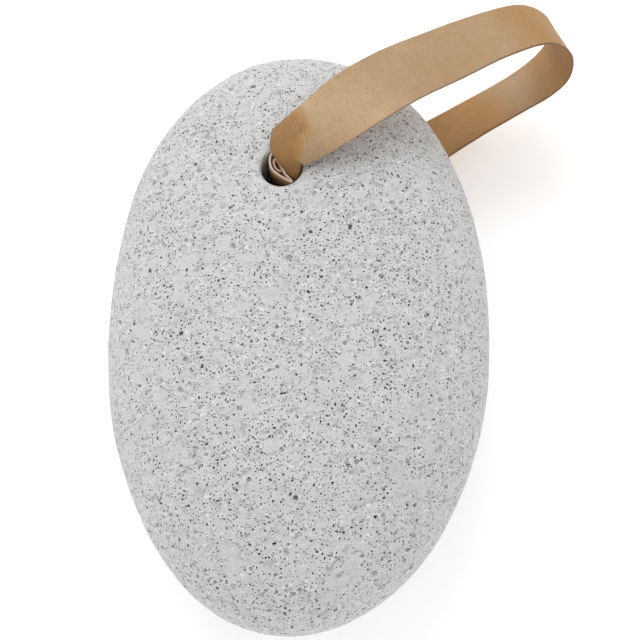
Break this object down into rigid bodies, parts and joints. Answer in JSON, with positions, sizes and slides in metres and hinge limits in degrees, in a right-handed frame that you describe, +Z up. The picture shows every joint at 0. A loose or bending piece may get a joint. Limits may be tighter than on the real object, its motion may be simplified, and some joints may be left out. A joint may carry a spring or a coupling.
{
  "type": "pumice stone",
  "caption": "Rounded oval pumice foot stone with a drilled hole near one end and a flat leather-look hanging strap looped through it.",
  "frame": {"origin": "middle of the worn flat that the stone rests on", "axes": "+Z up through the stone's thickness, +Y along its length towards the end with the hole, +X to the side that the strap leaves by"},
  "size_m": [0.0797, 0.1099, 0.04],
  "materials": {
    "pumice": "matt, open pored",
    "strap_leather": "smooth tan faux leather, satin"
  },
  "bodies": {
    "root": {"pumice_stone": "pumice", "hanging_strap": "strap_leather"}
  },
  "joints": []
}
